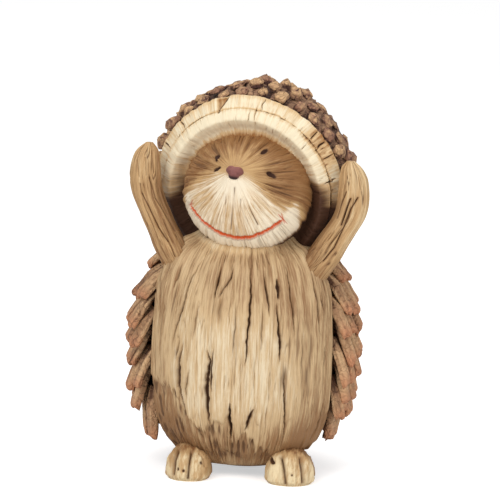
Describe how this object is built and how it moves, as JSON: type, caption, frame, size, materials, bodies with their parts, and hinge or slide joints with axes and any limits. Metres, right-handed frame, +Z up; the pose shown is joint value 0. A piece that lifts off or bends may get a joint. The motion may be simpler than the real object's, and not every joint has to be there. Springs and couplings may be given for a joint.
{
  "type": "hedgehog figurine",
  "caption": "Upright hedgehog figurine in carved wood and bark, with raised arms, a tilted smiling face and a wide knobbed cap.",
  "frame": {"origin": "middle of the figure's footprint, on the surface it stands on", "axes": "+X to the viewer's right when the face is seen, +Y to the back, +Z up"},
  "size_m": [0.1228, 0.1182, 0.2006],
  "materials": {
    "core_wood": "dark stained wood, mostly hidden under the quills",
    "belly_wood": "pale split wood with an upright grain, dark cracks and a brown wash at the edges",
    "limb_wood": "light brown wood with long grooves",
    "face_wood": "light brown wood grained outwards from the nose, paler on the muzzle, with a red-orange mouth line",
    "nose_stain": "purple-brown stain",
    "cap_bark": "rough brown bark",
    "cap_wood": "cream wood with checks running outwards",
    "knob_bark": "rough brown bark with tan tips and purple-brown hollows",
    "quill_bark": "rough brown bark with orange-brown ends",
    "dowel_wood": "plain turned wood"
  },
  "bodies": {
    "root": {"torso_core": "core_wood", "belly_panel": "belly_wood", "right_foot": "limb_wood", "left_foot": "limb_wood", "right_arm": "limb_wood", "left_arm": "limb_wood", "head": "face_wood", "nose": "nose_stain", "cap_cup": "cap_bark", "cap_rim": "cap_wood", "cap_band": "cap_wood", "cap_knobs_1": "knob_bark", "cap_knobs_2": "knob_bark", "cap_knobs_3": "knob_bark", "cap_knobs_4": "knob_bark", "cap_knobs_5": "knob_bark", "cap_knobs_6": "knob_bark", "cap_knobs_7": "knob_bark", "cap_knobs_8": "knob_bark", "cap_knobs_9": "knob_bark", "quill_row_1": "quill_bark", "quill_row_2": "quill_bark", "quill_row_3": "quill_bark", "quill_row_4": "quill_bark", "quill_row_5": "quill_bark", "quill_row_6": "quill_bark", "quill_row_7": "quill_bark", "quill_row_8": "quill_bark", "neck_dowel": "dowel_wood", "shoulder_dowels": "dowel_wood", "foot_dowels": "dowel_wood"}
  },
  "joints": []
}
